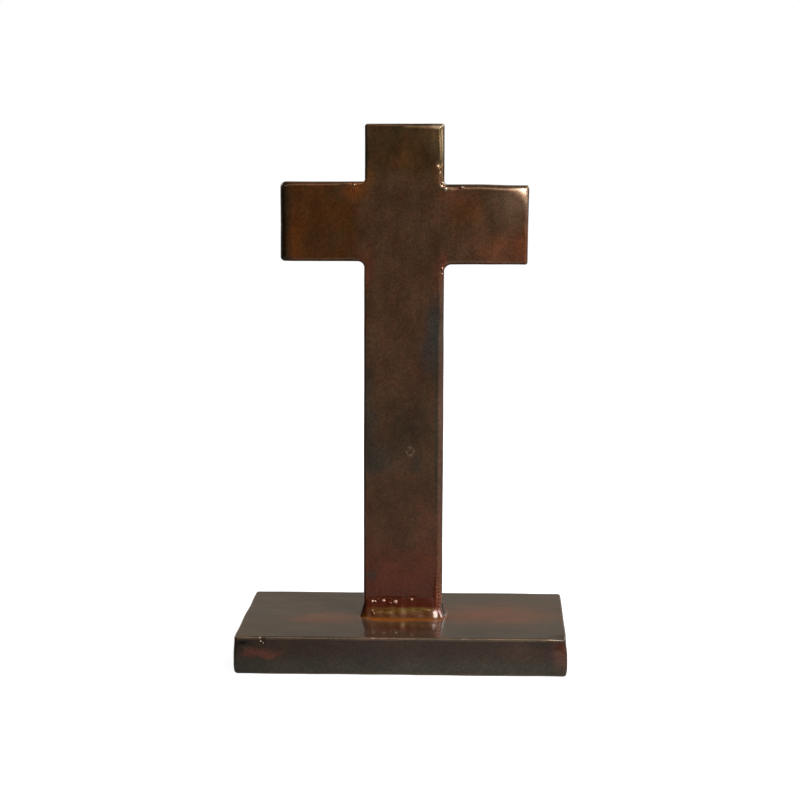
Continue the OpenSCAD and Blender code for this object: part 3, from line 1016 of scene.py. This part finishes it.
xs = spaced(-HALF_WIDTH - 5, HALF_WIDTH + 5, FINE, [], [])
ys = spaced(-HALF_THICK - 5, HALF_THICK + 5, FINE, [], [])
zs = spaced(GROUND_TOP - 1.5, GROUND_TOP + FOOT_HEIGHT + 4, FINE, [], [])
points, quads = skin(foot_field, xs, ys, zs)
ring = to_bmesh(points, quads)
for word, back in (("front", -1), ("rear", 1)):
    run = ring.copy()
    cut(run, (0, back * (HALF_THICK - SUNK), 0), (0, -back, 0))
    finish(f"foot_{word}_weld_bead", run, foot_field, f"foot_{word}_weld", weld_metal)
for word, side in (("left", -1), ("right", 1)):
    run = ring.copy()
    cut(run, (0, HALF_THICK - SUNK, 0), (0, 1, 0))
    cut(run, (0, -HALF_THICK + SUNK, 0), (0, -1, 0))
    cut(run, (0, 0, 0), (-side, 0, 0))
    finish(f"foot_{word}_weld_bead", run, foot_field, f"foot_{word}_weld", weld_metal)
ring.free()


# ---- Stage, in metres ----

LENS = 101.5
CAMERA_PLACE = (0.04163, -1.07011, 0.25589)
CAMERA_DOWN = 0.1241
CAMERA_LEFT = 0.0407


def make_camera():
    """The photograph's view: a long lens from about 1.1 m, a little above and to the right."""
    data = bpy.data.cameras.new("camera")
    camera = bpy.data.objects.new("camera", data)
    bpy.context.scene.collection.objects.link(camera)
    data.sensor_width = 36
    data.lens = LENS
    camera.location = CAMERA_PLACE
    camera.rotation_euler = (math.pi / 2 - CAMERA_DOWN, 0, CAMERA_LEFT)
    bpy.context.scene.camera = camera


def seen_and_lit(tree, seen, lit):
    """One shader for what the camera sees directly, and another for all other light."""
    path = tree.nodes.new("ShaderNodeLightPath")
    mixer = tree.nodes.new("ShaderNodeMixShader")
    tree.links.new(path.outputs["Is Camera Ray"], mixer.inputs[0])
    tree.links.new(lit, mixer.inputs[1])
    tree.links.new(seen, mixer.inputs[2])
    return mixer.outputs[0]


# The pool of light on the floor that only reflections see
POOL_PLACE = (0.03, -0.12, 0)
POOL_LIGHT = 0.4
POOL_CORE = 0.03
POOL_EDGE = 0.17


def by_distance(tree, centre, near_by, far_off, at_near, at_far):
    """A value that goes from at_near to at_far with the distance from a place on the floor."""
    away = tree.nodes.new("ShaderNodeVectorMath")
    away.operation = "DISTANCE"
    tree.links.new(tree.nodes.new("ShaderNodeTexCoord").outputs["Object"], away.inputs[0])
    away.inputs[1].default_value = centre
    fade = tree.nodes.new("ShaderNodeMapRange")
    tree.links.new(away.outputs["Value"], fade.inputs[0])
    for socket, value in zip(list(fade.inputs)[1:5], (near_by, far_off, at_near, at_far)):
        socket.default_value = value
    return fade.outputs[0]


def make_floor():
    """A plain pale floor that runs out to the horizon."""
    bm = bmesh.new()
    bmesh.ops.create_grid(bm, x_segments=1, y_segments=1, size=40)
    mesh = bpy.data.meshes.new("floor")
    bm.to_mesh(mesh)
    bm.free()
    floor = bpy.data.objects.new("floor", mesh)
    bpy.context.scene.collection.objects.link(floor)
    material = bpy.data.materials.new("floor_pale")
    material.use_nodes = True
    tree = material.node_tree
    tree.nodes.remove(tree.nodes["Principled BSDF"])
    pale = tree.nodes.new("ShaderNodeBsdfDiffuse")
    pale.inputs["Color"].default_value = (0.5, 0.5, 0.5, 1)
    glow = tree.nodes.new("ShaderNodeEmission")
    tree.links.new(by_distance(tree, (0, 0, 0), 0.12, 0.6, 0.86, 1.0), glow.inputs["Strength"])
    both = tree.nodes.new("ShaderNodeAddShader")
    tree.links.new(pale.outputs[0], both.inputs[0])
    tree.links.new(glow.outputs[0], both.inputs[1])
    # in reflections the floor is dim, with a pool of light just in front of the object
    dim = tree.nodes.new("ShaderNodeBsdfDiffuse")
    dim.inputs["Color"].default_value = (0.15, 0.15, 0.15, 1)
    pool = tree.nodes.new("ShaderNodeEmission")
    brightness = by_distance(tree, POOL_PLACE, POOL_CORE, POOL_EDGE, POOL_LIGHT, 0.0)
    tree.links.new(brightness, pool.inputs["Strength"])
    lit = tree.nodes.new("ShaderNodeAddShader")
    tree.links.new(dim.outputs[0], lit.inputs[0])
    tree.links.new(pool.outputs[0], lit.inputs[1])
    surface = seen_and_lit(tree, both.outputs[0], lit.outputs[0])
    tree.links.new(surface, tree.nodes["Material Output"].inputs["Surface"])
    mesh.materials.append(material)


def make_world():
    """White behind the object; its reflections see a dark studio with a pale wall low behind."""
    world = bpy.data.worlds.new("studio")
    world.use_nodes = True
    tree = world.node_tree
    white = tree.nodes["Background"]
    white.inputs["Color"].default_value = (1, 1, 1, 1)
    way = tree.nodes.new("ShaderNodeTexCoord").outputs["Generated"]
    split = tree.nodes.new("ShaderNodeSeparateXYZ")
    tree.links.new(way, split.inputs[0])
    shares = []
    # the wall: far enough back, and not too high
    for axis, low, high in (("Y", 0.1, 0.7), ("Z", 0.5, 0.15)):
        share = tree.nodes.new("ShaderNodeMapRange")
        tree.links.new(split.outputs[axis], share.inputs[0])
        share.inputs["From Min"].default_value = low
        share.inputs["From Max"].default_value = high
        shares.append(share.outputs[0])
    wall = tree.nodes.new("ShaderNodeMath")
    wall.operation = "MULTIPLY"
    tree.links.new(shares[0], wall.inputs[0])
    tree.links.new(shares[1], wall.inputs[1])
    depth = tree.nodes.new("ShaderNodeMapRange")
    tree.links.new(wall.outputs[0], depth.inputs[0])
    depth.inputs["To Min"].default_value = 0.025
    depth.inputs["To Max"].default_value = 0.25
    room = tree.nodes.new("ShaderNodeBackground")
    tree.links.new(depth.outputs[0], room.inputs["Strength"])
    room.inputs["Color"].default_value = (1.0, 0.87, 0.73, 1)
    surface = seen_and_lit(tree, white.outputs[0], room.outputs[0])
    tree.links.new(surface, tree.nodes["World Output"].inputs["Surface"])
    bpy.context.scene.world = world


def area_light(name, place, target, size, power):
    """A soft rectangular light at a place, turned towards a target."""
    data = bpy.data.lights.new(name, "AREA")
    data.shape = "RECTANGLE"
    data.size, data.size_y = size
    data.energy = power
    light = bpy.data.objects.new(name, data)
    bpy.context.scene.collection.objects.link(light)
    light.location = place
    light.rotation_euler = (Vector(target) - Vector(place)).to_track_quat("-Z", "Y").to_euler()


make_camera()
make_floor()
make_world()
area_light("key_right", (0.62, -1.0, 0.85), (0, 0, 0.15), (0.5, 0.5), 13.5)
area_light("high_right", (0.42, -0.35, 1.05), (0, 0, 0.1), (0.3, 0.3), 2.6)
area_light("side_right", (1.0, 0.0, 0.45), (0, 0, 0.1), (0.35, 0.5), 2.2)
area_light("high_front", (-0.1, -0.8, 1.25), (0, 0, 0.15), (1.0, 0.4), 1.5)
area_light("back_right", (0.8, 1.0, 0.8), (0, 0, 0.15), (1.0, 1.0), 7)
area_light("back_left", (-0.9, 0.9, 0.7), (0, 0, 0.15), (1.0, 1.0), 7)
bpy.context.scene.view_settings.view_transform = "Standard"
